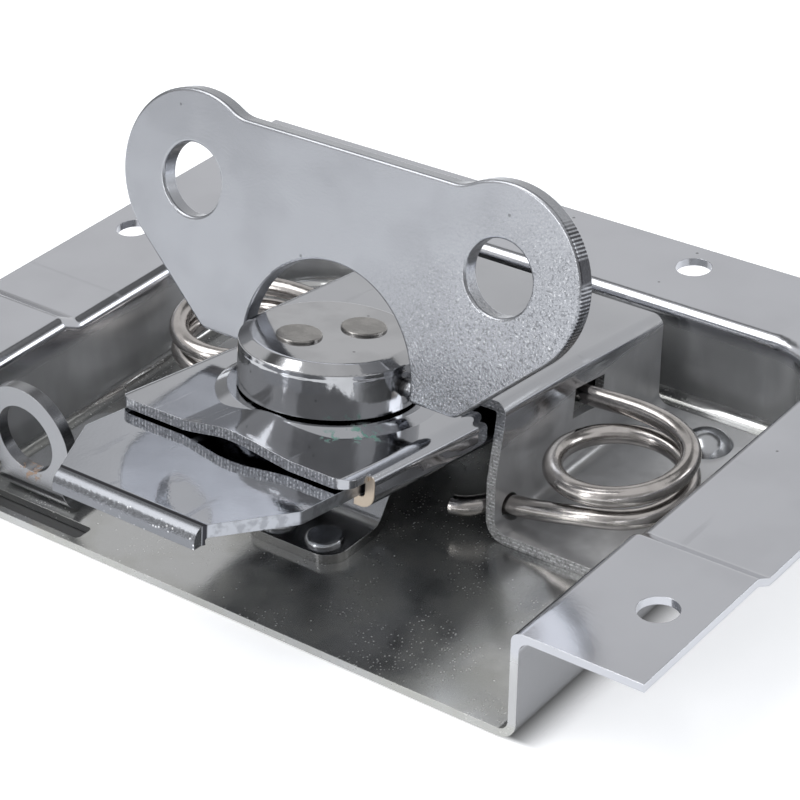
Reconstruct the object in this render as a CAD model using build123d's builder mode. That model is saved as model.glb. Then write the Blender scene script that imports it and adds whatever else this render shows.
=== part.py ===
"""Mechanism half of a recessed butterfly case latch, in millimetres, +Z out of the case.

The origin is midway between the two side screw holes, on the flange's top face.
+Y runs from the open front edge to the back wall. The moving parts sit in a mechanism frame
that is pitched up towards the front.
"""
import os
from math import asin, atan2, cos, pi, radians, sin, sqrt, tan

from build123d import *

os.makedirs("parts", exist_ok=True)

# Clearances
slide_gap = 0.3         # between sheets that slide or turn past each other
journal_gap = 0.05      # radial, running fit of the spindle and of the wing's ears
wire_gap = 0.35         # around a spring leg in its opening
side_gap = 0.4          # each side of the hook plate in the channel

# Dish
dish_w = 112.0
dish_d = 79.1
dish_t = 1.0
front_y = -44.6         # open front edge
floor_z = -12.0
side_flange = 15.7      # outer edge to the cavity's wall, at flange level
back_flange = 14.3
wall_draft = 3.9
corner_r = 9.4          # upright corners of the cavity
rim_r = 1.5             # bend from flange to wall
floor_r = 1.5           # bend from wall to floor
step_h = 1.2            # the front part of the side flanges stands higher
step_y = (-23.6, -21.4)
step_r = 1.2
fix_hole_r = 2.25
front_hole_in = (5.5, 11.0)     # in from the side edge, in from the front edge
side_hole_in = 5.0
back_hole_x = 14.6
back_hole_in = 4.7
slot_x = (-38.4, -21.4)
slot_in = (0.9, 3.4)    # from the front edge
slot_r = 0.6

# Padlock eye
eye_t = 1.5
eye_wall = 9.4          # middle of the eye to the cavity's wall
eye_in = 3.6            # from the front edge to the plate
eye_z = -3.3
eye_r = 6.75
eye_hole_r = 4.25
eye_stem = 4.7
eye_foot_half = 5.5
eye_foot_len = 18.4
eye_foot_r = 2.5
eye_waist = (3.5, 1.6)  # heights above the floor where the stem widens to the foot
eye_bend = 1.0

# Mechanism frame
pitch = 9.5
boss_y = -22.9
plate_z = 4.32          # top of the channel on the boss axis

# Channel
chan_t = 1.2
chan_half = 16.8
chan_bend = 1.7
chan_front = -17.2
curl_front = -13.1
tab_in = 0.7            # each side of the front tab, from the channel's side
tab_corner = 2.0
chan_rear = 30.0
chan_depth = 4.5
curl_lip = 2.6
ring_h = 0.75
ring_r = 11.4
ring_foot = 12.7
bead_line = ((-6.5, 0.0), (-3.2, 0.5), (-0.8, 0.85), (2.0, 0.8), (5.3, 0.4), (8.5, 0.0))
float_travel = 2.5

# Hook plate
hook_t = 1.5
hook_kink = -23.1
nose_y = -33.9
nose_half = 9.9
nose_drop = 2.4
nose_tuck = 0.2         # the lip's end is bent back by this much
nose_bend = 0.3
nose_run = 1.3          # straight sides behind the lip
kink_r = 1.2
hook_rear = 8.6
hook_travel = 6.0

# Boss, spindle, cam and their rivets
boss_r = 10.35
boss_h = 6.1
boss_bevel = (1.35, 0.85)
boss_edge_r = (0.2, 0.6)        # outer and inner edge of the bevel
spindle_r = 8.0
cam_r = 8.6
cam_slack = (0.4, 0.95)
cam_window_r = 1.0
rivet_at = (1.9, 3.35)
rivet_r = 1.5
rivet_head_r = 2.6
rivet_head_h = 0.3
rivet_edge_r = 0.15

# Wing
wing_t = 2.2
hinge_h = 3.7           # above the channel's top
wing_lean = 5.3         # back from square to the channel
finger_x = 21.3
finger_h = 15.6         # above the hinge
finger_r = 4.25
lobe_r = 10.4
lobe_rise = 8.6         # top edge above the finger holes
wing_low = -1.15
leg_x = 18.0
leg_r = 1.5
cutout_r = 11.76
cutout_h = 3.4          # centre of the cut-out above the channel
cutout_end_r = 0.5
neck_r = 4.5
ear_r = 1.0
ear_x = 8.0
wing_round = 0.35

# Bracket, cut square to the mechanism's pitch at both ends
brk_t = 1.2
brk_y = (-17.7, -4.3)   # front edge and crease, at floor level
brk_gap = 4.6           # rear edge to the back wall, at floor level
brk_z = (4.7, 3.0, 0.1)
brk_x = (18.8, 18.5, 18.4)
waist_x = (18.0, 18.2, 18.3)
waist_z = -5.0
ankle = (18.3, 18.3, 18.6)
shoulder_z = 2.1
brow = (0.1, 0.2, 1.9)  # set-in of the top edge and the side edge of the bend, and its drop
brk_bend = 1.5
brk_corner_r = 1.5
foot_gap = 5.3          # foot's end to the cavity's wall
notch_r = 15.0
brk_rivet = (6.6, 10.9)         # in from the foot's end, behind the origin
dome_r = 3.2
dome_h = 1.9

# Front strut
strut_t = 1.2
strut_half = 6.8
strut_front = -32.2
strut_rise = -23.9
strut_shelf = (8.0, 24.0)       # behind the boss axis, along the mechanism
strut_bend = 2.2
strut_toe_r = 2.8
strut_hole = (3.3, 3.0)         # off the middle, behind the toe
flat_head_r = 2.25
flat_head_h = 0.6
flat_edge_r = 0.4

# Springs
wire_r = 1.2
coil_r = 7.7
coil_at = (27.9, -6.2)
coil_turns = 1.5
coil_pitch = 3.1
upper_leg = (1.6, -2.5)
upper_tip_x = 13.5
leg_start_x = 20.5      # where each leg leaves the coil
leg_hole_at = (-14.3, -9.1)
leg_tip = (12.8, -17.7)
window_len = 6.0
window_drop = 0.35      # middle of the window below the leg

# Derived
back_y = front_y + dish_d
cavity_half = dish_w / 2 - side_flange
cavity_back = back_y - back_flange
eye_y = front_y + eye_in
eye_x = eye_wall - cavity_half
foot_half = cavity_half - foot_gap
brk_rear = cavity_back - brk_gap
tab_half = chan_half - tab_in
hook_half = chan_half - chan_t - side_gap
wing_top = finger_h + lobe_rise
tilt = radians(pitch)
hook_top = -chan_t - slide_gap
hook_under = hook_top - hook_t
boss_base = ring_h + slide_gap
boss_top = boss_base + boss_h
cam_throw = hook_travel / 2
window_h = 2 * (wire_r + wire_gap + window_drop)
foot_top = floor_z + brk_t * cos(tilt)
shelf_top = hook_under - slide_gap
mech = Plane(origin=(0, boss_y, plate_z), x_dir=(1, 0, 0), z_dir=(0, sin(tilt), cos(tilt)))


def level(height):
    """Plane parallel to the channel at a height above its top."""
    return mech.offset(height)


def across(at):
    """Plane across the mechanism: local x is X, local y is the height above the channel."""
    return Plane(origin=mech.from_local_coords((0, at, 0)), x_dir=(1, 0, 0),
                 z_dir=(0, -cos(tilt), sin(tilt)))


def under_flange(drop):
    """Everything below the flange's top line, dropped by a distance."""
    with BuildPart() as block:
        with BuildSketch(Plane.YZ):
            with BuildLine():
                line = FilletPolyline((front_y, step_h - drop), (step_y[0], step_h - drop),
                                      (step_y[1], -drop), (back_y, -drop), radius=step_r)
                Polyline(line @ 1, (back_y, 2 * floor_z), (front_y, 2 * floor_z), line @ 0)
            make_face()
        extrude(amount=dish_w / 2, both=True)
    return block.part


def pan(grow):
    """Tapered pan, open at the front, grown outwards by a distance."""
    bottom = floor_z - grow
    inset = (0 - bottom) * tan(radians(wall_draft))
    half = cavity_half + grow - inset
    back = cavity_back + grow - inset
    past = front_y - corner_r
    with BuildPart() as body:
        with BuildSketch(Plane.XY.offset(bottom)) as base:
            with Locations((0, back)):
                Rectangle(2 * half, back - past, align=(Align.CENTER, Align.MAX))
            fillet(base.vertices().group_by(Axis.Y)[-1], radius=corner_r - inset + grow)
        extrude(amount=2 * step_h - bottom, taper=-wall_draft)
        low = body.faces().sort_by(Axis.Z)[0].edges()
        fillet(low.filter_by(lambda e: e.center().Y > past + 1), radius=floor_r + grow)
    return body.part


def rim(part):
    """Edges of the bend between the flange and the pan."""
    return part.edges().filter_by(
        lambda e: abs(e.center().X) < cavity_half + 3
        and front_y + 0.5 < e.center().Y < cavity_back + 3
        and -0.1 < e.center().Z < step_h + 0.1
        and e.length > 0.3)


with BuildPart() as dish:
    add(under_flange(0))
    with BuildPart(mode=Mode.PRIVATE) as below:
        add(under_flange(dish_t))
        add(pan(dish_t), mode=Mode.SUBTRACT)
    add(below.part, mode=Mode.SUBTRACT)
    add(pan(0), mode=Mode.SUBTRACT)
    fillet(rim(dish.part), radius=rim_r)
    for sx in (-1, 1):
        with Locations((sx * (dish_w / 2 - front_hole_in[0]), front_y + front_hole_in[1], step_h),
                       (sx * (dish_w / 2 - side_hole_in), 0, 0),
                       (sx * back_hole_x, back_y - back_hole_in, 0)):
            Cylinder(fix_hole_r, 4 * dish_t, mode=Mode.SUBTRACT)
    with BuildSketch(Plane.XY.offset(floor_z)) as slot:
        with Locations((sum(slot_x) / 2, front_y + sum(slot_in) / 2)):
            RectangleRounded(slot_x[1] - slot_x[0], slot_in[1] - slot_in[0], slot_r)
    extrude(slot.sketch, amount=2 * dish_t, both=True, mode=Mode.SUBTRACT)
dish.part.label = "dish"
export_step(dish.part, "parts/dish.step")

with BuildPart() as padlock_eye:
    with BuildSketch(Plane.XZ.offset(-eye_y)):
        with BuildLine():
            half = [(eye_stem, eye_z), (eye_stem, floor_z + eye_waist[0]),
                    (eye_foot_half, floor_z + eye_waist[1]), (eye_foot_half, floor_z)]
            Polyline(*[(eye_x - dx, z) for dx, z in half],
                     *[(eye_x + dx, z) for dx, z in reversed(half)], close=True)
        make_face()
        with Locations((eye_x, eye_z)):
            Circle(eye_r)
    extrude(amount=-eye_t)
    with Locations((eye_x, eye_y, floor_z)):
        Box(2 * eye_foot_half, eye_foot_len, eye_t, align=(Align.CENTER, Align.MIN, Align.MIN))
    ends = padlock_eye.edges().filter_by(Axis.Z).group_by(Axis.Y)[-1]
    fillet(ends, radius=eye_foot_r)
    heel = padlock_eye.edges().filter_by(Axis.X)
    fillet(heel.filter_by_position(Axis.Z, floor_z - 0.01, floor_z + 0.01)
           .filter_by_position(Axis.Y, eye_y - 0.01, eye_y + 0.01), radius=eye_bend + eye_t)
    fillet(heel.filter_by_position(Axis.Z, floor_z + eye_t - 0.01, floor_z + eye_t + 0.01)
           .filter_by_position(Axis.Y, eye_y + eye_t - 0.01, eye_y + eye_t + 0.01), radius=eye_bend)
    with Locations(Location((eye_x, eye_y, eye_z), (90, 0, 0))):
        Cylinder(eye_hole_r, 4 * eye_t, mode=Mode.SUBTRACT)
padlock_eye.part.label = "padlock_eye"
export_step(padlock_eye.part, "parts/padlock_eye.step")


def hat(i):
    """Cross-section of the bracket's sheet at one of its three stations."""
    top = brk_z[i]
    y = (*brk_y, brk_rear)[i]
    square = Plane(origin=(0, y, floor_z), x_dir=(1, 0, 0), z_dir=(0, -cos(tilt), sin(tilt)))
    half = [(foot_half, foot_top), (ankle[i], foot_top), (waist_x[i], waist_z),
            (brk_x[i] - brow[1], min(top - brow[2], shoulder_z)), (brk_x[i] - brow[0], top)]
    half = [(x, (z - floor_z) / cos(tilt)) for x, z in half]
    mirrored = [(-x, h) for x, h in reversed(half)]
    with BuildSketch(square) as section:
        with BuildLine():
            FilletPolyline(*half, *mirrored, radius=brk_bend)
            offset(amount=brk_t, side=Side.LEFT)
        make_face()
    return section.sketch


with BuildPart() as bracket:
    for i in (0, 1):
        loft(sections=[hat(i), hat(i + 1)], ruled=True)
    with Locations((0, boss_y, 0)):
        Cylinder(notch_r, 30, mode=Mode.SUBTRACT)
    for sx in (-1, 1):
        with Locations(Location((sx * ankle[0], *leg_hole_at), (0, 90, 0))):
            Cylinder(wire_r + wire_gap, 8, mode=Mode.SUBTRACT)
        with Locations(Location((sx * waist_x[1], upper_leg[0], upper_leg[1] - window_drop), (-pitch, 0, 0))):
            Box(8, window_len, window_h, mode=Mode.SUBTRACT)
    corners = bracket.edges().filter_by(lambda e: abs(e.center().X) > foot_half - 0.01 and e.length < 2 * brk_t)
    fillet(corners, radius=brk_corner_r)
bracket.part.label = "bracket"
export_step(bracket.part, "parts/bracket.step")

ball_r = (dome_r ** 2 + dome_h ** 2) / (2 * dome_h)
for side, sx in (("right", 1), ("left", -1)):
    with BuildPart() as bracket_rivet:
        with Locations((sx * (foot_half - brk_rivet[0]), brk_rivet[1], foot_top + dome_h - ball_r)):
            Sphere(ball_r)
        split(bisect_by=Plane.XY.offset(foot_top))
    bracket_rivet.part.label = "bracket_rivet_" + side
    export_step(bracket_rivet.part, "parts/bracket_rivet_" + side + ".step")

with BuildPart() as front_strut:
    shelf = [mech.from_local_coords((0, at, shelf_top)) for at in strut_shelf]
    with BuildSketch(Plane.YZ):
        with BuildLine():
            FilletPolyline((strut_front, floor_z + strut_t), (strut_rise, floor_z + strut_t),
                           (shelf[0].Y, shelf[0].Z), (shelf[1].Y, shelf[1].Z), radius=strut_bend)
            offset(amount=strut_t, side=Side.RIGHT)
        make_face()
    extrude(amount=strut_half, both=True)
    toe = front_strut.edges().filter_by(Axis.Z).group_by(Axis.Y)[0]
    fillet(toe, radius=strut_toe_r)
front_strut.part.label = "front_strut"
export_step(front_strut.part, "parts/front_strut.step")

for side, sx in (("right", 1), ("left", -1)):
    with BuildPart(Plane.XY.offset(floor_z + strut_t)) as strut_rivet:
        with Locations((sx * strut_hole[0], strut_front + strut_hole[1])):
            Cylinder(flat_head_r, flat_head_h, align=(Align.CENTER, Align.CENTER, Align.MIN))
        fillet(strut_rivet.faces().sort_by(Axis.Z)[-1].edges(), radius=flat_edge_r)
    strut_rivet.part.label = "strut_rivet_" + side
    export_step(strut_rivet.part, "parts/strut_rivet_" + side + ".step")


def spring_points(sx):
    """Centre line of a spring's wire from its lower tip through the coil to its upper tip."""
    steps = round(coil_turns * 8)
    coil = []
    for k in range(steps + 1):
        turn = pi / 2 - 2 * pi * coil_turns * (1 - k / steps)
        drop = coil_pitch * coil_turns * (1 - k / steps)
        coil.append((coil_at[0] + coil_r * cos(turn), coil_at[1] + coil_r * sin(turn), upper_leg[1] - drop))
    inside = ankle[0] - brk_t
    low_y, low_z = leg_hole_at
    tip = [(*leg_tip, low_z), (inside - 1.8, leg_tip[1] + 1.6, low_z), (inside - 0.8, low_y - 0.7, low_z),
           (inside + 0.2, low_y - 0.1, low_z), (leg_start_x, low_y + 0.15, low_z + 0.4)]
    leg = [(leg_start_x, *upper_leg), (upper_tip_x, *upper_leg)]
    return [(sx * x, y, z) for x, y, z in tip + coil + leg]


for side, sx in (("right", 1), ("left", -1)):
    with BuildPart() as spring:
        with BuildLine() as wire:
            Spline(*spring_points(sx))
        with BuildSketch(Plane(origin=wire.line @ 0, z_dir=wire.line % 0)):
            Circle(wire_r)
        sweep(path=wire.line, is_frenet=False)
    spring.part.label = "spring_" + side
    export_step(spring.part, "parts/spring_" + side + ".step")


def along(sketch, start, stop):
    """Extrudes a cross-section, drawn at the start, along the mechanism."""
    return extrude(sketch, amount=stop - start, dir=mech.y_dir)


def channel_section(start, inner):
    """Cross-section of the channel's outside, or of the space inside it."""
    step = chan_t if inner else 0
    with BuildSketch(across(start)) as section:
        with Locations((0, -step)):
            Rectangle(2 * (chan_half - step), chan_depth - 2 * step, align=(Align.CENTER, Align.MAX))
        fillet(section.vertices(), radius=chan_bend - step)
    return section.sketch


def ring_solid(drop):
    """Raised ring around the boss."""
    slope = (ring_foot - ring_r) / ring_h
    with BuildPart() as ring:
        with BuildSketch(level(-drop - 0.5)):
            Circle(ring_foot + 0.5 * slope)
        with BuildSketch(level(ring_h - drop)):
            Circle(ring_r)
        loft()
    return ring.part


def bead_solid(drop):
    """Shallow bead from the ring to the front edge."""
    points = [(x, h - drop) for x, h in bead_line]
    with BuildPart() as bead:
        with BuildSketch(across(chan_front - 1)) as profile:
            with BuildLine():
                Spline(*points)
                Polyline(points[-1], (points[-1][0], -drop - 0.5), (points[0][0], -drop - 0.5), points[0])
            make_face()
        along(profile.sketch, chan_front - 1, -8)
    return bead.part


with BuildPart() as channel:
    along(channel_section(chan_front, False), chan_front, chan_rear)
    for lump in (ring_solid, bead_solid):
        add(lump(0))
    with BuildPart(mode=Mode.PRIVATE) as hollow:
        along(channel_section(chan_front - 1, True), chan_front - 1, chan_rear + 1)
        with BuildSketch(across(chan_front - 1)) as mouth:
            with Locations((0, -chan_depth / 2)):
                Rectangle(2 * (chan_half - curl_lip), chan_depth, align=(Align.CENTER, Align.MAX))
        along(mouth.sketch, chan_front - 1, chan_rear + 1)
        for lump in (ring_solid, bead_solid):
            add(lump(chan_t))
    add(hollow.part, mode=Mode.SUBTRACT)
    with BuildSketch(across(chan_front - 3)) as past:
        Rectangle(80, 20)
    extrude(past.sketch, amount=3, dir=mech.y_dir, mode=Mode.SUBTRACT)
    with BuildSketch(across(chan_front)) as under_tip:
        with Locations((0, -chan_t)):
            Rectangle(80, 10, align=(Align.CENTER, Align.MAX))
    extrude(under_tip.sketch, amount=curl_front - chan_front, dir=mech.y_dir, mode=Mode.SUBTRACT)
    with BuildSketch(mech) as beside_tab:
        with Locations((0, (chan_front + curl_front) / 2)):
            Rectangle(2 * chan_half + 4, curl_front - chan_front)
        with Locations((0, chan_front)):
            Rectangle(2 * tab_half, 2 * (curl_front - chan_front), align=(Align.CENTER, Align.MIN),
                      mode=Mode.SUBTRACT)
    extrude(beside_tab.sketch, amount=10, both=True, mode=Mode.SUBTRACT)
    tips = channel.edges().filter_by(lambda e: abs(e.tangent_at(0.5).dot(mech.z_dir)) > 0.9
                                     and mech.to_local_coords(e.center()).Y < chan_front + 0.1)
    fillet(tips, radius=tab_corner)
    with BuildSketch(mech) as bore:
        Circle(spindle_r + journal_gap)
    extrude(bore.sketch, amount=chan_depth, both=True, mode=Mode.SUBTRACT)
    leg = mech.to_local_coords(Vector(0, *upper_leg))
    slot_end = (leg.Y - wire_r - wire_gap, leg.Y + float_travel + wire_r + wire_gap)
    with BuildSketch(mech.offset(-chan_t)) as slots:
        for sx in (-1, 1):
            with Locations((sx * chan_half, sum(slot_end) / 2)):
                Rectangle(2 * (curl_lip + 1), slot_end[1] - slot_end[0])
    extrude(slots.sketch, amount=8, dir=-mech.z_dir, mode=Mode.SUBTRACT)
channel.part.label = "channel"
export_step(channel.part, "parts/channel.step")

with BuildPart() as hook_plate:
    with BuildSketch(Plane.YZ.offset(-hook_half)) as side:
        with BuildLine():
            pts = [(nose_y + nose_tuck, hook_top - nose_drop), (nose_y, hook_top), (hook_rear, hook_top)]
            world = [mech.from_local_coords((0, *q)) for q in pts]
            FilletPolyline(*[(w.Y, w.Z) for w in world], radius=nose_bend + hook_t)
            offset(amount=hook_t, side=Side.RIGHT)
        make_face()
    extrude(side.sketch, amount=2 * hook_half, dir=(1, 0, 0))
    with BuildSketch(level(5)) as outline:
        with BuildLine():
            half = [(nose_half, nose_y - nose_run), (nose_half, nose_y + nose_run),
                    (hook_half, hook_kink), (hook_half, hook_rear)]
            Polyline(*half, *[(-x, y) for x, y in reversed(half)], close=True)
        make_face()
        fillet(outline.vertices().filter_by(lambda v: abs(abs(v.X) - hook_half) < 0.01), radius=kink_r)
    extrude(outline.sketch, amount=20, dir=-mech.z_dir, mode=Mode.INTERSECT)
    with BuildSketch(level(5)) as window:
        with Locations((0, -cam_throw)):
            RectangleRounded(2 * (cam_r + cam_throw + cam_slack[0]), 2 * (cam_r + cam_slack[1]), cam_window_r)
    extrude(window.sketch, amount=20, dir=-mech.z_dir, mode=Mode.SUBTRACT)
hook_plate.part.label = "hook_plate"
export_step(hook_plate.part, "parts/hook_plate.step")


def turned(at, x, y, radius, height):
    """Cylinder square to the channel, standing on a height above its top."""
    with Locations(mech.offset(at).location * Location((x, y, 0))):
        return Cylinder(radius, height, align=(Align.CENTER, Align.CENTER, Align.MIN), mode=Mode.PRIVATE)


def rivet_bores():
    """Shanks of the two boss rivets."""
    return [turned(hook_under, s * rivet_at[0], s * rivet_at[1], rivet_r, boss_top - hook_under)
            for s in (-1, 1)]


with BuildPart() as spindle:
    add(turned(hook_top, 0, 0, spindle_r, boss_base - hook_top))
    for bore in rivet_bores():
        add(bore, mode=Mode.SUBTRACT)
spindle.part.label = "spindle"
export_step(spindle.part, "parts/spindle.step")

with BuildPart() as cam:
    add(turned(hook_under, 0, -cam_throw, cam_r, hook_t))
    for bore in rivet_bores():
        add(bore, mode=Mode.SUBTRACT)
cam.part.label = "cam"
export_step(cam.part, "parts/cam.step")

with BuildPart() as boss:
    with BuildSketch(across(0)) as profile:
        with BuildLine():
            FilletPolyline((0, boss_base), (boss_r, boss_base), (boss_r, boss_top - boss_bevel[1]),
                           (boss_r - boss_bevel[0], boss_top), (0, boss_top),
                           radius=(0, 0, *boss_edge_r, 0), close=True)
        make_face()
    revolve(profile.sketch, axis=Axis(mech.origin, mech.z_dir))
    for bore in rivet_bores():
        add(bore, mode=Mode.SUBTRACT)
    for sx in (-1, 1):
        with Locations(mech.offset(hinge_h).location * Location((sx * (boss_r + 1), 0, 0), (0, -sx * 90, 0))):
            Cylinder(ear_r + journal_gap, boss_r + 1 - ear_x + slide_gap, mode=Mode.SUBTRACT,
                     align=(Align.CENTER, Align.CENTER, Align.MIN))
boss.part.label = "boss"
export_step(boss.part, "parts/boss.step")

for side, s in (("front", -1), ("back", 1)):
    with BuildPart() as boss_rivet:
        add(turned(hook_under, s * rivet_at[0], s * rivet_at[1], rivet_r, boss_top - hook_under))
        add(turned(boss_top, s * rivet_at[0], s * rivet_at[1], rivet_head_r, rivet_head_h))
        fillet(boss_rivet.edges().sort_by(Axis.Z)[-1], radius=rivet_edge_r)
    boss_rivet.part.label = "boss_rivet_" + side
    export_step(boss_rivet.part, "parts/boss_rivet_" + side + ".step")

with BuildPart() as wing:
    lean = radians(pitch + wing_lean)
    blade = Plane(origin=mech.from_local_coords((0, 0, hinge_h)), x_dir=(1, 0, 0),
                  z_dir=(0, -cos(lean), sin(lean)))
    dx, dy = finger_x - leg_x, finger_h - wing_low
    reach = sqrt(dx * dx + dy * dy)
    side_len = sqrt(reach * reach - lobe_r * lobe_r)
    slope = atan2(dy, dx) - asin(lobe_r / reach)
    meet = (leg_x + side_len * cos(slope), wing_low + side_len * sin(slope))
    neck_x = finger_x - sqrt(lobe_r ** 2 - lobe_rise ** 2)
    foot_x = sqrt(cutout_r ** 2 - (cutout_h - hinge_h - wing_low) ** 2)
    with BuildSketch(blade.offset(-wing_t / 2)) as outline:
        half = [(leg_x, wing_low), meet, (finger_x, finger_h), (neck_x, wing_top)]
        with BuildLine():
            Polyline(*half, *[(-x, h) for x, h in reversed(half)], close=True)
        make_face()
        with Locations((-finger_x, finger_h), (finger_x, finger_h)):
            Circle(lobe_r)
        with Locations((0, cutout_h - hinge_h)):
            Circle(cutout_r, mode=Mode.SUBTRACT)
        with Locations((-finger_x, finger_h), (finger_x, finger_h)):
            Circle(finger_r, mode=Mode.SUBTRACT)
        ends = {neck_x: neck_r, leg_x: leg_r, foot_x: cutout_end_r}
        for at, radius in ends.items():
            fillet(outline.vertices().filter_by(lambda v: abs(abs(v.X) - at) < 0.01), radius=radius)
    extrude(outline.sketch, amount=wing_t, dir=blade.z_dir)
    fillet(wing.faces().filter_by(lambda f: abs(f.normal_at().dot(blade.z_dir)) > 0.99).edges(),
           radius=wing_round)
    for sx in (-1, 1):
        with Locations(blade.location * Location((sx * (cutout_r + 1), 0, 0), (0, -sx * 90, 0))):
            Cylinder(ear_r, cutout_r + 1 - ear_x, align=(Align.CENTER, Align.CENTER, Align.MIN))
wing.part.label = "wing"
export_step(wing.part, "parts/wing.step")
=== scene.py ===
"""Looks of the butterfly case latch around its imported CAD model, in metres."""
import math

import bpy
from mathutils import Matrix, Vector


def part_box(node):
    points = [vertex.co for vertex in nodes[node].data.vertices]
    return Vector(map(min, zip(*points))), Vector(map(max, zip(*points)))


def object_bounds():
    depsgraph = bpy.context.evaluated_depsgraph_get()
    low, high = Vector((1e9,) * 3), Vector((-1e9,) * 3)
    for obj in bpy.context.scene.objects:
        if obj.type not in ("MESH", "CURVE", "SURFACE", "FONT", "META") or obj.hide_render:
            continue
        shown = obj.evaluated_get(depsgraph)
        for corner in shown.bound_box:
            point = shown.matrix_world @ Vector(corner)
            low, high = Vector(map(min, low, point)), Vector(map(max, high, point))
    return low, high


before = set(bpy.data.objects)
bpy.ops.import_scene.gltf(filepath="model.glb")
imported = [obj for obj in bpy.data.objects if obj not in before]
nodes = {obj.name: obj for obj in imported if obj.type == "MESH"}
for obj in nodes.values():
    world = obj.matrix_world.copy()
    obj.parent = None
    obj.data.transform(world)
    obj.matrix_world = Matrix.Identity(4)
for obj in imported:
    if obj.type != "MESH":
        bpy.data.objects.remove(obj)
cad_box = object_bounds()

CAMERA_AT = (0.167805, -0.216322, 0.159218)
CAMERA_FORWARD = (-0.54045, 0.65382, -0.52955)
CAMERA_RIGHT = (0.78887, 0.61263, -0.04870)
CAMERA_LENS = 120.7
CAMERA_SHIFT = (0.0178, 0.031)

# Size of the scene's own things, in metres
FLOOR_SIZE, FLOOR_GAP = 6.0, 0.0002
LIGHT_AIM = (0, -0.01, 0)

# Floor paper: its glow and tone, and how far inside the dish's box the painted shadow starts,
# where the paper loses its glow and darkens
PAPER_GLOW, PAPER_TONE, PAPER_TONE_SHADOWED = 0.50, 0.90, 0.10
SHADOW_FROM, SHADOW_FULL, SHADOW_FRONT = 0.012, 0.018, 0.001

# Surroundings: the fill, the white that metal mirrors, and the sectors that it mirrors darker.
# A sector has a depth and smooth steps over the direction, each from clear to dark
FILL_COLOUR, FILL_STRENGTH = (0.90, 0.94, 1.0, 1), 0.55
MIRRORED_WHITE = 0.80
DARK_SECTORS = {
    "ceiling": (0.82, (("z", 0.70, 0.76), ("z", 0.87, 0.81), ("y - x", 0.15, 0.40))),
    "behind": (0.82, (("z", 0.57, 0.62), ("z", 0.83, 0.77),
                      ("x", -0.40, -0.30), ("y", 0.15, 0.35))),
    "beside": (0.48, (("x", 0.02, 0.12), ("y", -0.05, -0.25), ("z", 0.75, 0.65))),
    "left": (0.55, (("x", -0.60, -0.68), ("z", 0.42, 0.30))),
}

# Axes of the mechanism and the wing, in the row frame: millimetres and unit vectors
PITCH = math.radians(9.5)
MECH_AT = (0.0, -22.9, 4.32)
MECH_BACK = (0.0, math.cos(PITCH), -math.sin(PITCH))
MECH_UP = (0.0, math.sin(PITCH), math.cos(PITCH))
LEAN = math.radians(14.8)
WING_AT = (0.0, -22.289, 7.969)
WING_UP = (0.0, math.sin(LEAN), math.cos(LEAN))
X, Z = (1.0, 0.0, 0.0), (0.0, 0.0, 1.0)
ORIGIN = (0.0, 0.0, 0.0)
LOBE_ACROSS, LOBE_UP = 21.3, 15.6

# Places on the part, in millimetres along the axis that each finish names.
# In a pair that says where a look starts and is full, the first value is the start
WALLS_BELOW, WALLS_WITHIN, DISH_FLOOR = (-1.2, -3.0), (42.0, 41.0), (-10.6, -11.4)
DISH_HALF, OUTSIDE_BELOW = 40, (-0.6, -1.6)
GRAIN_SLOPE, GRAIN_FROM = 1.3, (-16.0, 14.0)
HINGE_HEIGHT, HINGE_WITHIN = (1.6, 0.9), (11.4, 10.8)
BRACKET_SIDES = (0.8, -1.5)
CHANNEL_FRONT, CHANNEL_EDGE = (-16.95, -17.1), (-1.4, 1.2)
CURL_ACROSS, CURL_UP, CURL_BACK = (13.6, 14.2), (-0.5, -0.9), (-13.4, -13.0)
RESIDUE = (((10.6, -29.6, 5.9), 2.6), ((8.0, -32.6, 6.0), 1.4))
HOOK_BEND, HOOK_CREASE, LIP_GLINTS_ACROSS = (-31.95, -32.15), (-32.45, -32.15), (-6.0, 8.0)
BOSS_WALL = (5.8, 5.4)
EYE_FOOT, EYE_RUST, EYE_RUST_REACH = (-9.6, -10.2), (-30.9, -41.0, -7.4), (2.2, 1.0)

# Ribs on the wing's rim: how many to a radian, and the angles of the ribbed and the solid cut
RIBS, RIBBED, SOLID_CUT = 150.0, (-0.45, 0.72), (0.22, 0.42)

# Bright colour for raised metal, used as painted glints that catch the light
PAINTED_GLINT = (0.72, 0.73, 0.75)


# ---------------------------------------------------------------- nodes

def opposite(axis):
    return tuple(-v for v in axis)


def feed(tree, value, socket):
    """Gives a socket a number or a colour, or links another socket to it."""
    if isinstance(value, (int, float, tuple)):
        socket.default_value = value
    else:
        tree.links.new(value, socket)


def math_node(tree, operation, *values):
    """Socket of a Math node over numbers or sockets."""
    node = tree.nodes.new("ShaderNodeMath")
    node.operation = operation
    for value, socket in zip(values, node.inputs):
        feed(tree, value, socket)
    return node.outputs[0]


def product(tree, *factors):
    """Socket of the product of numbers or sockets."""
    total = factors[0]
    for factor in factors[1:]:
        total = math_node(tree, "MULTIPLY", total, factor)
    return total


def ramp_node(tree, value, low, high, to_low=0.0, to_high=1.0):
    """Smooth step of a socket from one number to another, upwards or downwards."""
    node = tree.nodes.new("ShaderNodeMapRange")
    node.interpolation_type = "SMOOTHSTEP"
    tree.links.new(value, node.inputs["Value"])
    backwards = low > high
    node.inputs["From Min"].default_value = min(low, high)
    node.inputs["From Max"].default_value = max(low, high)
    node.inputs["To Min"].default_value = to_high if backwards else to_low
    node.inputs["To Max"].default_value = to_low if backwards else to_high
    return node.outputs[0]


# ---------------------------------------------------------------- camera, floor and light

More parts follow.
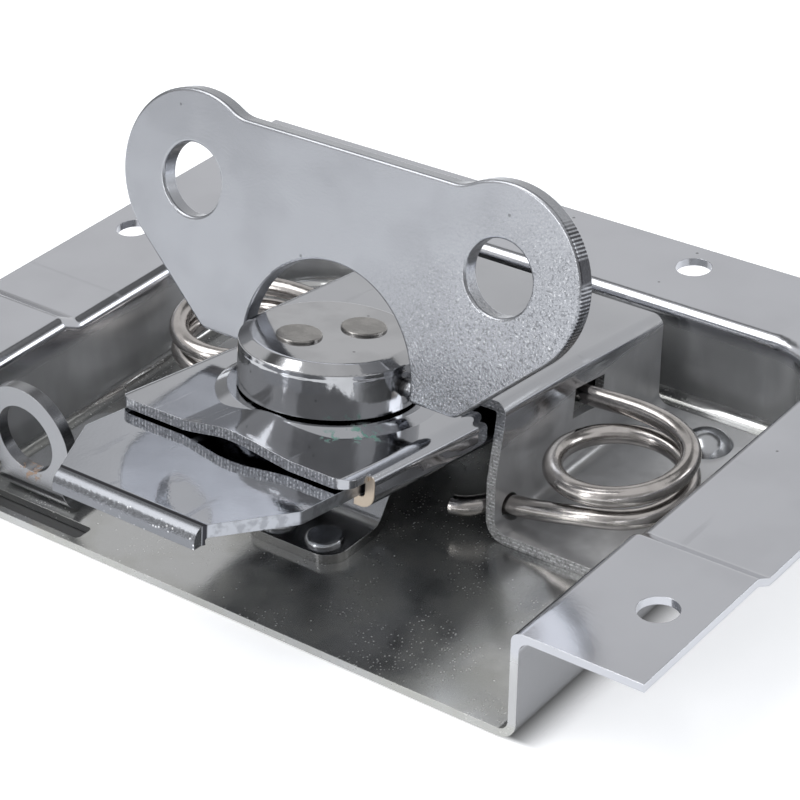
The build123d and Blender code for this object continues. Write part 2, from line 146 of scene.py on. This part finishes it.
def add_camera():
    """Camera at the photograph's viewing angle."""
    forward = Vector(CAMERA_FORWARD).normalized()
    right = Vector(CAMERA_RIGHT)
    right = (right - forward * right.dot(forward)).normalized()
    up = right.cross(forward)
    turn = Matrix((right, up, -forward)).transposed().to_4x4()
    data = bpy.data.cameras.new("camera")
    data.lens = CAMERA_LENS
    data.sensor_width = 36.0
    data.shift_x, data.shift_y = CAMERA_SHIFT
    data.clip_start, data.clip_end = 0.01, 20.0
    camera = bpy.data.objects.new("camera", data)
    camera.matrix_world = Matrix.Translation(CAMERA_AT) @ turn
    bpy.context.scene.collection.objects.link(camera)
    bpy.context.scene.camera = camera


def seen_directly(tree):
    """1 for the rays that show the background: camera, glossy and transmission rays."""
    path = tree.nodes.new("ShaderNodeLightPath")
    total = math_node(tree, "MAXIMUM", path.outputs["Is Camera Ray"],
                      path.outputs["Is Glossy Ray"])
    return math_node(tree, "MAXIMUM", total, path.outputs["Is Transmission Ray"])


def mirrored_dark(tree):
    """How dark the mirrored surroundings are in each direction, from 0 to 1."""
    where = tree.nodes.new("ShaderNodeTexCoord")
    axes = tree.nodes.new("ShaderNodeSeparateXYZ")
    tree.links.new(where.outputs["Generated"], axes.inputs[0])
    direction = {name: axes.outputs[name.upper()] for name in "xyz"}
    direction["y - x"] = math_node(tree, "SUBTRACT", direction["y"], direction["x"])
    dark = None
    for depth, steps in DARK_SECTORS.values():
        ramps = [ramp_node(tree, direction[name], clear, full) for name, clear, full in steps]
        sector = product(tree, *ramps, depth)
        dark = sector if dark is None else math_node(tree, "MAXIMUM", dark, sector)
    return dark


def add_world():
    """White for the camera, white with dark sectors for mirrored rays, a fill for the rest."""
    world = bpy.data.worlds.new("studio")
    world.use_nodes = True
    tree = world.node_tree
    tree.nodes.clear()
    out = tree.nodes.new("ShaderNodeOutputWorld")
    mix = tree.nodes.new("ShaderNodeMixShader")
    fill = tree.nodes.new("ShaderNodeBackground")
    shown = tree.nodes.new("ShaderNodeBackground")
    fill.inputs["Color"].default_value = FILL_COLOUR
    fill.inputs["Strength"].default_value = FILL_STRENGTH
    shown.inputs["Color"].default_value = (1, 1, 1, 1)
    tree.links.new(seen_directly(tree), mix.inputs[0])
    tree.links.new(fill.outputs[0], mix.inputs[1])
    tree.links.new(shown.outputs[0], mix.inputs[2])
    tree.links.new(mix.outputs[0], out.inputs[0])

    camera_ray = tree.nodes.new("ShaderNodeLightPath").outputs["Is Camera Ray"]
    mirrored = product(tree, math_node(tree, "SUBTRACT", 1.0, mirrored_dark(tree)),
                       MIRRORED_WHITE)
    lost = product(tree, math_node(tree, "SUBTRACT", 1.0, mirrored),
                   math_node(tree, "SUBTRACT", 1.0, camera_ray))
    tree.links.new(math_node(tree, "SUBTRACT", 1.0, lost), shown.inputs["Strength"])
    bpy.context.scene.world = world


def quad(name, size_x, size_y, at, facing):
    """Flat rectangle at a place, facing a point."""
    mesh = bpy.data.meshes.new(name)
    x, y = size_x / 2, size_y / 2
    mesh.from_pydata([(-x, -y, 0), (x, -y, 0), (x, y, 0), (-x, y, 0)], [], [(0, 1, 2, 3)])
    plane = bpy.data.objects.new(name, mesh)
    look = (Vector(facing) - Vector(at)).to_track_quat("Z", "Y")
    plane.matrix_world = Matrix.Translation(at) @ look.to_matrix().to_4x4()
    bpy.context.scene.collection.objects.link(plane)
    return plane


def add_floor():
    """Plain pale floor that keeps the object's shadow, with a painted shadow under the dish:
    less glow and a darker tone there.
    """
    low = cad_box[0][2]
    floor = quad("floor", FLOOR_SIZE, FLOOR_SIZE, (0, 0, low - FLOOR_GAP), (0, 0, 1))
    material = bpy.data.materials.new("floor_paper")
    material.use_nodes = True
    shader = material.node_tree.nodes["Principled BSDF"]
    shader.inputs["Roughness"].default_value = 0.9
    shader.inputs["Specular IOR Level"].default_value = 0.0
    shader.inputs["Emission Color"].default_value = (1, 1, 1, 1)
    tree = material.node_tree
    where = tree.nodes.new("ShaderNodeNewGeometry")
    axes = tree.nodes.new("ShaderNodeSeparateXYZ")
    tree.links.new(where.outputs["Position"], axes.inputs[0])
    dish_low, dish_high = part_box("dish")
    across, along = axes.outputs["X"], axes.outputs["Y"]
    # painted shadow: inside the dish's box the paper's glow is taken away and its tone darkened
    under = product(
        tree,
        ramp_node(tree, across, dish_low.x + SHADOW_FROM, dish_low.x + SHADOW_FULL),
        ramp_node(tree, across, dish_high.x - SHADOW_FROM, dish_high.x - SHADOW_FULL),
        ramp_node(tree, along, dish_low.y, dish_low.y + SHADOW_FRONT),
        ramp_node(tree, along, dish_high.y - SHADOW_FROM, dish_high.y - SHADOW_FULL))
    bare = math_node(tree, "SUBTRACT", 1.0, under)
    glow = math_node(tree, "MULTIPLY", bare, PAPER_GLOW)
    tree.links.new(glow, shader.inputs["Emission Strength"])
    paper = math_node(tree, "MULTIPLY_ADD", bare, PAPER_TONE - PAPER_TONE_SHADOWED,
                      PAPER_TONE_SHADOWED)
    tree.links.new(paper, shader.inputs["Base Color"])
    floor.data.materials.append(material)


def add_softbox(name, at, size, power, colour=(1, 1, 1)):
    """Rectangular soft light aimed at the middle of the object."""
    data = bpy.data.lights.new(name, "AREA")
    data.shape = "RECTANGLE"
    data.size, data.size_y = size
    data.energy = power
    data.color = colour
    light = bpy.data.objects.new(name, data)
    look = (Vector(LIGHT_AIM) - Vector(at)).to_track_quat("-Z", "Y")
    light.matrix_world = Matrix.Translation(at) @ look.to_matrix().to_4x4()
    bpy.context.scene.collection.objects.link(light)


def add_lights():
    """Key from the upper left, a strip low in front and a cool rim from behind."""
    add_softbox("key", (-0.35, -0.295, 0.75), (0.60, 0.60), 3.6)
    add_softbox("front_strip", (-0.26, -0.80, 0.26), (0.14, 0.40), 1.0)
    add_softbox("rim", (0.62, 0.50, 0.30), (0.30, 0.22), 0.8, (0.95, 0.97, 1.0))


# ---------------------------------------------------------------- materials

class Finish:
    """A metal whose colour, gloss and relief are built up in layers, in millimetres."""

    def __init__(self, name, colour, roughness, edge=0.12):
        self.material = bpy.data.materials.new(name)
        self.material.use_nodes = True
        self.tree = self.material.node_tree
        self.shader = self.tree.nodes["Principled BSDF"]
        coordinates = self.tree.nodes.new("ShaderNodeTexCoord")
        scale = self.vector("SCALE", coordinates.outputs["Object"])
        scale.inputs["Scale"].default_value = 1000.0
        self.place = scale.outputs[0]
        self.colour = (*colour, 1)
        self.roughness = roughness
        self.metal = 1.0
        self.height = None
        self.edge = edge

    def vector(self, operation, a, b=None):
        node = self.tree.nodes.new("ShaderNodeVectorMath")
        node.operation = operation
        self.tree.links.new(a, node.inputs[0])
        if b is not None:
            node.inputs[1].default_value = b
        return node

    def math(self, operation, *values):
        return math_node(self.tree, operation, *values)

    def times(self, *factors):
        return product(self.tree, *factors)

    def ramp(self, value, low, high, to_low=0.0, to_high=1.0):
        return ramp_node(self.tree, value, low, high, to_low, to_high)

    def along(self, axis, origin=ORIGIN):
        """Millimetres along an axis from a point."""
        moved = self.vector("SUBTRACT", self.place, origin).outputs[0]
        return self.vector("DOT_PRODUCT", moved, axis).outputs["Value"]

    def distance(self, point):
        return self.vector("DISTANCE", self.place, point).outputs["Value"]

    def band(self, value, low, high, soft):
        """1 between two values, fading over a distance at each end."""
        return self.times(self.ramp(value, low - soft, low), self.ramp(value, high + soft, high))

    def noise(self, size, detail=2.0, stretch=(1, 1, 1), shift=(0, 0, 0)):
        """Soft noise whose blots are about so many millimetres across.

        A stretch below 1 draws the blots out along an axis, and a shift picks other noise.
        """
        place = self.vector("MULTIPLY", self.place, tuple(s / size for s in stretch)).outputs[0]
        place = self.vector("ADD", place, shift).outputs[0]
        node = self.tree.nodes.new("ShaderNodeTexNoise")
        self.tree.links.new(place, node.inputs["Vector"])
        node.inputs["Scale"].default_value = 1.0
        node.inputs["Detail"].default_value = detail
        return node.outputs["Fac"]

    def specks(self, size, share, radius=0.3, shift=(0, 0, 0)):
        """Round specks: a share of the cells of a size each hold one."""
        place = self.vector("MULTIPLY", self.place, (1 / size,) * 3).outputs[0]
        place = self.vector("ADD", place, shift).outputs[0]
        node = self.tree.nodes.new("ShaderNodeTexVoronoi")
        self.tree.links.new(place, node.inputs["Vector"])
        node.inputs["Scale"].default_value = 1.0
        shade = self.tree.nodes.new("ShaderNodeSeparateColor")
        self.tree.links.new(node.outputs["Color"], shade.inputs[0])
        chosen = self.math("LESS_THAN", shade.outputs["Red"], share)
        return self.times(self.ramp(node.outputs["Distance"], radius, radius * 0.5), chosen)

    def facing(self, axis, low, high):
        """1 where the surface faces along an axis, by the cosine between the two."""
        normal = self.tree.nodes.new("ShaderNodeTexCoord").outputs["Normal"]
        turned = self.vector("DOT_PRODUCT", normal, axis).outputs["Value"]
        return self.ramp(turned, low, high)

    def cover(self, blend, mask, colour):
        """Mixes a colour into the finish's own over the masked places."""
        mix = self.tree.nodes.new("ShaderNodeMix")
        mix.data_type = "RGBA"
        mix.blend_type = blend
        self.tree.links.new(mask, mix.inputs[0])
        feed(self.tree, self.colour, mix.inputs["A"])
        mix.inputs["B"].default_value = (*colour, 1)
        self.colour = mix.outputs["Result"]

    def tint(self, mask, colour, strength=1.0):
        """Lays a colour over the masked places."""
        self.cover("MIX", mask if strength == 1.0 else self.times(mask, strength), colour)

    def shade(self, mask, factor):
        """Multiplies the colour by a grey factor over the masked places."""
        self.cover("MULTIPLY", mask, (factor,) * 3)

    def towards(self, start, mask, value):
        """Takes a number or socket to a value over the masked places."""
        mix = self.tree.nodes.new("ShaderNodeMix")
        self.tree.links.new(mask, mix.inputs[0])
        feed(self.tree, start, mix.inputs["A"])
        mix.inputs["B"].default_value = value
        return mix.outputs["Result"]

    def gloss(self, mask, roughness):
        """Takes the roughness to another value over the masked places."""
        self.roughness = self.towards(self.roughness, mask, roughness)

    def dull(self, mask, metal):
        """Covers the metal with a film that scatters light over the masked places."""
        self.metal = self.towards(self.metal, mask, metal)

    def relief(self, value, height):
        """Adds relief of so many millimetres."""
        raised = self.math("MULTIPLY", value, height)
        self.height = raised if self.height is None else self.math("ADD", self.height, raised)

    def wear(self):
        """Layers that the plated parts share: mottling, pits, hair scratches and waviness."""
        self.shade(self.ramp(self.noise(13.0, 3.0), 0.40, 0.68), 0.94)
        self.shade(self.specks(2.6, 0.10, 0.10), 0.45)
        hair = self.ramp(self.noise(2.2, 2.0, (1, 0.04, 1)), 0.66, 0.72)
        other = self.ramp(self.noise(2.6, 2.0, (0.04, 1, 1), (7, 3, 1)), 0.67, 0.73)
        self.gloss(hair, 0.26)
        self.gloss(other, 0.24)
        self.relief(self.noise(0.35, 2.0), 0.004)
        self.relief(self.noise(6.0, 1.0), 0.025)

    def done(self):
        """Connects the layers to the shader."""
        feed(self.tree, self.colour, self.shader.inputs["Base Color"])
        feed(self.tree, self.roughness, self.shader.inputs["Roughness"])
        feed(self.tree, self.metal, self.shader.inputs["Metallic"])
        bump = self.tree.nodes.new("ShaderNodeBump")
        bump.inputs["Strength"].default_value = 1.0
        bump.inputs["Distance"].default_value = 0.001
        if self.height is not None:
            self.tree.links.new(self.height, bump.inputs["Height"])
        bevel = self.tree.nodes.new("ShaderNodeBevel")
        bevel.samples = 4
        bevel.inputs["Radius"].default_value = self.edge / 1000
        self.tree.links.new(bevel.outputs[0], bump.inputs["Normal"])
        self.tree.links.new(bump.outputs[0], self.shader.inputs["Normal"])
        return self.material


def dish_finish():
    """Satin flange, smeared walls partly lightened by painted light, a dusty floor and painted
    shade on the outer sides.
    """
    f = Finish("dish_zinc", (0.54, 0.55, 0.585), 0.15)
    f.wear()
    height = f.along(Z)
    across = f.math("ABSOLUTE", f.along(X))
    inside = f.times(f.ramp(height, *WALLS_BELOW), f.ramp(across, *WALLS_WITHIN))
    floor = f.times(f.ramp(height, *DISH_FLOOR), inside)
    smear = f.ramp(f.noise(8.0, 3.0, (1, 1, 0.5)), 0.38, 0.62)
    # partly painted light: the inside gets a lighter tint than the flange to brighten the walls;
    # the duller film and the smears are the finish's own
    f.tint(inside, (0.58, 0.585, 0.59))
    f.gloss(inside, 0.26)
    f.dull(inside, 0.70)
    f.shade(f.times(inside, smear), 0.80)
    f.gloss(floor, 0.13)
    f.dull(floor, 0.90)
    f.tint(floor, (0.47, 0.475, 0.475))
    film = f.times(floor, f.ramp(f.noise(8.0, 4.0, shift=(2, 6, 1)), 0.36, 0.68))
    f.tint(film, (0.42, 0.42, 0.39), 0.7)
    f.gloss(film, 0.25)
    f.dull(film, 0.74)
    patch = f.ramp(f.noise(7.0, 3.0, shift=(3, 8, 2)), 0.42, 0.58)
    dust = f.times(floor, f.specks(0.36, 0.36, 0.36), patch)
    f.tint(dust, (0.60, 0.60, 0.57), 0.7)
    f.dull(dust, 0.3)
    fine = f.times(floor, f.specks(0.9, 0.22, 0.14, (9, 9, 9)))
    f.tint(fine, (0.70, 0.70, 0.68), 0.8)
    f.dull(fine, 0.2)
    normal = f.tree.nodes.new("ShaderNodeTexCoord").outputs["Normal"]
    outward = f.times(f.vector("DOT_PRODUCT", normal, X).outputs["Value"], f.along(X),
                      1 / DISH_HALF)
    # painted shade: the dish's outward-facing sides are tinted and shaded darker
    shaded_outside = f.times(f.ramp(height, *OUTSIDE_BELOW), f.ramp(outward, 0.4, 0.7))
    f.tint(shaded_outside, (0.40, 0.405, 0.42))
    f.shade(shaded_outside, 0.75)
    return f.done()


def wing_finish():
    """Satin with a blasted grain towards the lower right and painted glints on it, and painted
    shade in the sheared ribs and in the gap at the hinge.
    """
    f = Finish("wing_zinc", (0.36, 0.37, 0.395), 0.27)
    f.shade(f.ramp(f.noise(9.0, 3.0), 0.42, 0.64), 0.92)
    right = f.along(X)
    rise = f.along(WING_UP, WING_AT)
    slanted = f.math("SUBTRACT", right, f.math("MULTIPLY", rise, GRAIN_SLOPE))
    lower = f.ramp(slanted, *GRAIN_FROM)
    grain = f.noise(0.26, 2.0, (1, 1, 0.8))
    f.relief(f.times(grain, f.ramp(lower, 0.0, 1.0, 0.15, 1.0)), 0.034)
    f.relief(f.noise(9.0, 1.0, shift=(4, 4, 4)), 0.10)
    # painted glints: bright specks tinted over the grain
    sparkle = f.times(lower, f.ramp(f.noise(0.24, 1.0, shift=(5, 1, 2)), 0.60, 0.72))
    f.tint(sparkle, PAINTED_GLINT, 0.6)
    f.shade(f.times(lower, f.ramp(f.noise(0.28, 1.0, shift=(2, 7, 2)), 0.45, 0.35)), 0.62)
    f.shade(f.specks(2.4, 0.10, 0.10), 0.55)
    wing_front = (0.0, -WING_UP[2], WING_UP[1])
    face = f.facing(wing_front, 0.55, 0.75)
    back = f.facing(opposite(wing_front), 0.55, 0.75)
    rim = f.times(f.math("SUBTRACT", 1.0, face), f.math("SUBTRACT", 1.0, back))
    lobe = (LOBE_ACROSS, *(a + LOBE_UP * b for a, b in zip(WING_AT[1:], WING_UP[1:])))
    angle = f.math("ARCTAN2", f.along(WING_UP, lobe), f.along(X, lobe))
    ribs = f.ramp(f.math("SINE", f.math("MULTIPLY", angle, RIBS)), -0.6, 0.2)
    uneven = f.ramp(f.noise(3.5, 2.0, shift=(1, 5, 2)), 0.36, 0.5)
    solid = f.band(angle, *SOLID_CUT, 0.06)
    # painted shade: the sheared ribs and a solid stretch of the cut rim are tinted near black
    cut = f.times(rim, f.band(angle, *RIBBED, 0.2),
                  f.math("MAXIMUM", f.times(ribs, uneven), solid))
    f.tint(cut, (0.03, 0.03, 0.035), 0.92)
    # painted shade: the gap at the hinge is tinted near black
    hinge = f.times(f.ramp(rise, *HINGE_HEIGHT),
                    f.ramp(f.math("ABSOLUTE", right), *HINGE_WITHIN))
    f.tint(hinge, (0.05, 0.05, 0.05), 0.9)
    return f.done()


def cut_edge(f, mask, axis, pitch):
    """Fine sheared teeth along an axis, over the masked cut face, the teeth tinted bright as
    painted glints.
    """
    f.gloss(mask, 0.36)
    f.shade(mask, 0.62)
    teeth = f.ramp(f.math("SINE", f.math("MULTIPLY", f.along(axis), 2 * math.pi / pitch)),
                   -0.2, 0.8)
    broken = f.ramp(f.noise(0.30, 2.0, shift=(6, 2, 3)), 0.46, 0.58)
    # painted glints: the teeth are tinted bright
    f.tint(f.times(mask, teeth, broken), PAINTED_GLINT, 0.65)
    f.shade(f.times(mask, f.ramp(f.noise(0.35, 2.0, shift=(2, 2, 5)), 0.52, 0.62)), 0.6)
    f.relief(f.times(mask, f.noise(0.3, 2.0)), 0.04)


def bracket_finish():
    """Polished top, smeared sides partly lightened by painted light, and a grainy front cut."""
    f = Finish("bracket_zinc", (0.44, 0.45, 0.475), 0.13)
    f.wear()
    low = f.ramp(f.along(Z), *BRACKET_SIDES)
    # partly painted light: the sides get a lighter tint than the top to brighten them; the
    # duller film and the smears are the finish's own
    f.tint(low, (0.56, 0.56, 0.565))
    f.gloss(low, 0.30)
    f.dull(low, 0.55)
    f.shade(f.times(low, f.ramp(f.noise(5.0, 3.0, (1, 1, 0.6)), 0.40, 0.60)), 0.82)
    front = f.facing(opposite(MECH_BACK), 0.7, 0.9)
    cut_edge(f, front, Z, 0.42)
    return f.done()


def channel_finish():
    """Bright plate with a serrated front cut, a copper-stained curl and green residue."""
    f = Finish("channel_zinc", (0.42, 0.43, 0.455), 0.075)
    f.wear()
    back = f.along(MECH_BACK, MECH_AT)
    up = f.along(MECH_UP, MECH_AT)
    front = f.times(f.ramp(back, *CHANNEL_FRONT), f.facing(opposite(MECH_BACK), 0.6, 0.8))
    cut_edge(f, f.times(front, f.band(up, *CHANNEL_EDGE, 0.05)), X, 0.46)
    right = f.along(X)
    curl = f.times(f.ramp(right, *CURL_ACROSS), f.ramp(up, *CURL_UP),
                   f.band(back, *CURL_BACK, 0.1))
    f.tint(curl, (0.46, 0.38, 0.29), 0.85)
    f.gloss(curl, 0.42)
    crust = f.ramp(f.noise(0.9, 3.0, shift=(8, 8, 1)), 0.50, 0.58)
    for at, reach in RESIDUE:
        green = f.times(f.ramp(f.distance(at), reach, reach * 0.35), crust)
        f.tint(green, (0.10, 0.30, 0.23), 0.8)
        f.dull(green, 0.2)
    return f.done()


def hook_finish():
    """Mirror plate with painted shade over its bend and lip, a painted dark line at the crease,
    a dented lip with painted glints and duller cut sides.
    """
    f = Finish("hook_zinc", (0.42, 0.435, 0.47), 0.05)
    f.wear()
    side = f.math("MAXIMUM", f.facing(X, 0.35, 0.55), f.facing(opposite(X), 0.35, 0.55))
    f.gloss(side, 0.30)
    f.shade(f.times(side, f.ramp(f.noise(1.2, 3.0), 0.45, 0.6)), 0.72)
    nose = f.along(MECH_BACK, MECH_AT)
    # painted shade: the bend and the lip beyond it are shaded to half
    bend = f.ramp(nose, *HOOK_BEND)
    f.gloss(bend, 0.26)
    f.shade(bend, 0.50)
    # painted shade: a near-black line where the bend starts
    crease = f.times(f.band(nose, *HOOK_CREASE, 0.1), f.ramp(f.noise(3.0, 2.0), 0.26, 0.38))
    f.tint(crease, (0.02, 0.02, 0.025), 0.92)
    lip = f.facing(opposite(MECH_BACK), 0.72, 0.86)
    # painted glints: white specks tinted over the lip; its relief is real dents
    lip_glints = f.times(lip, f.ramp(f.along(X), *LIP_GLINTS_ACROSS), f.specks(0.42, 0.42, 0.36))
    f.tint(lip_glints, (0.90, 0.91, 0.93), 0.8)
    f.relief(f.times(lip, f.noise(0.5, 2.0)), 0.05)
    return f.done()


def boss_finish():
    """Polished cap with wavy streaks down its wall."""
    f = Finish("boss_chrome", (0.44, 0.445, 0.46), 0.09)
    wall = f.ramp(f.along(MECH_UP, MECH_AT), *BOSS_WALL)
    f.relief(f.times(f.noise(1.6, 2.0, (1, 1, 0.35)), wall), 0.045)
    f.relief(f.noise(6.0, 1.0), 0.06)
    f.relief(f.noise(0.3, 2.0), 0.003)
    f.shade(f.ramp(f.noise(6.0, 3.0), 0.42, 0.62), 0.88)
    f.shade(f.specks(1.7, 0.14, 0.13), 0.4)
    return f.done()


def rivet_finish():
    """Duller, turned rivet ends."""
    f = Finish("rivet_steel", (0.30, 0.29, 0.28), 0.24)
    f.shade(f.ramp(f.noise(2.0, 3.0), 0.42, 0.6), 0.8)
    f.relief(f.noise(0.4, 2.0), 0.012)
    return f.done()


def spring_finish():
    """Warm polished wire with drawing lines."""
    f = Finish("spring_wire", (0.50, 0.475, 0.46), 0.18)
    f.shade(f.ramp(f.noise(3.0, 3.0), 0.42, 0.64), 0.82)
    f.relief(f.noise(0.25, 2.0), 0.004)
    f.gloss(f.ramp(f.noise(1.0, 2.0), 0.5, 0.7), 0.24)
    return f.done()


def eye_finish():
    """Cast-looking grey ring on a brighter foot, with a trace of rust in the ring."""
    f = Finish("eye_zinc", (0.31, 0.315, 0.33), 0.24)
    f.wear()
    foot = f.ramp(f.along(Z), *EYE_FOOT)
    f.tint(foot, (0.50, 0.505, 0.52))
    rust = f.times(f.ramp(f.distance(EYE_RUST), *EYE_RUST_REACH),
                   f.ramp(f.noise(0.8, 3.0), 0.50, 0.60))
    f.tint(rust, (0.30, 0.16, 0.07), 0.7)
    f.dull(rust, 0.3)
    return f.done()


def plain_finish(name, colour, roughness):
    """Worn plating in one colour."""
    f = Finish(name, colour, roughness)
    f.wear()
    return f.done()


def dress(node, material):
    """Gives a CAD node its one material."""
    mesh = nodes[node].data
    mesh.materials.clear()
    mesh.materials.append(material)


def dress_all():
    """Gives every CAD node its finish; fasteners and hidden parts share one."""
    rivets = rivet_finish()
    wire = spring_finish()
    small = plain_finish("small_parts_zinc", (0.42, 0.43, 0.45), 0.18)
    coats = {
        "dish": dish_finish(),
        "wing": wing_finish(),
        "bracket": bracket_finish(),
        "channel": channel_finish(),
        "hook_plate": hook_finish(),
        "boss": boss_finish(),
        "padlock_eye": eye_finish(),
        # painted shade: the strut's colour is darker than the other small parts
        "front_strut": plain_finish("strut_zinc_shaded", (0.30, 0.30, 0.30), 0.18),
    }
    for name in nodes:
        if name in coats:
            dress(name, coats[name])
        elif name.startswith("boss_rivet"):
            dress(name, rivets)
        elif name.startswith("spring"):
            dress(name, wire)
        else:
            dress(name, small)


add_camera()
add_world()
add_floor()
add_lights()
dress_all()

bpy.context.scene.view_settings.view_transform = "Standard"
